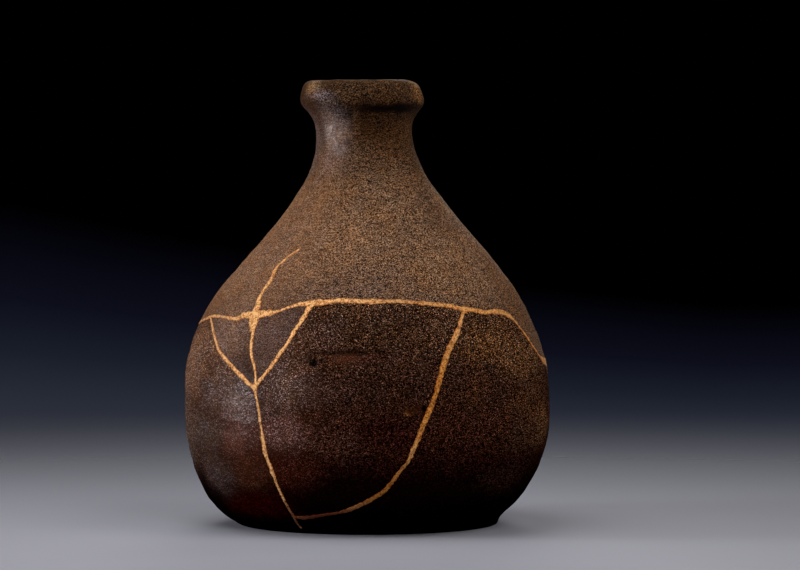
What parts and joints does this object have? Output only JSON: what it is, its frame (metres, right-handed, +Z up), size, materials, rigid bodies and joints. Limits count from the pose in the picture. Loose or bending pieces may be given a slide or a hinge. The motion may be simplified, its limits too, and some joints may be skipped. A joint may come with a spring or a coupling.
{
  "type": "kintsugi vase",
  "caption": "Thrown stoneware bottle vase with a narrow neck and rolled lip, broken and mended with raised gold seams.",
  "frame": {"origin": "middle of the foot's flat underside", "axes": "+Z up through the mouth, -Y towards the front with the large mended sherd, +X to the right of the front"},
  "size_m": [0.1648, 0.1648, 0.2],
  "materials": {
    "stoneware": "dry, sandy brown ash glaze",
    "dark_stoneware": "dark brown, satin",
    "gold": "gold dust on lacquer, slightly grainy"
  },
  "bodies": {
    "root": {"neck_and_shoulder": "stoneware", "lower_body": "dark_stoneware", "left_sherd": "stoneware", "middle_sherd": "stoneware", "front_sherd": "dark_stoneware", "gold_seams": "gold"}
  },
  "joints": []
}
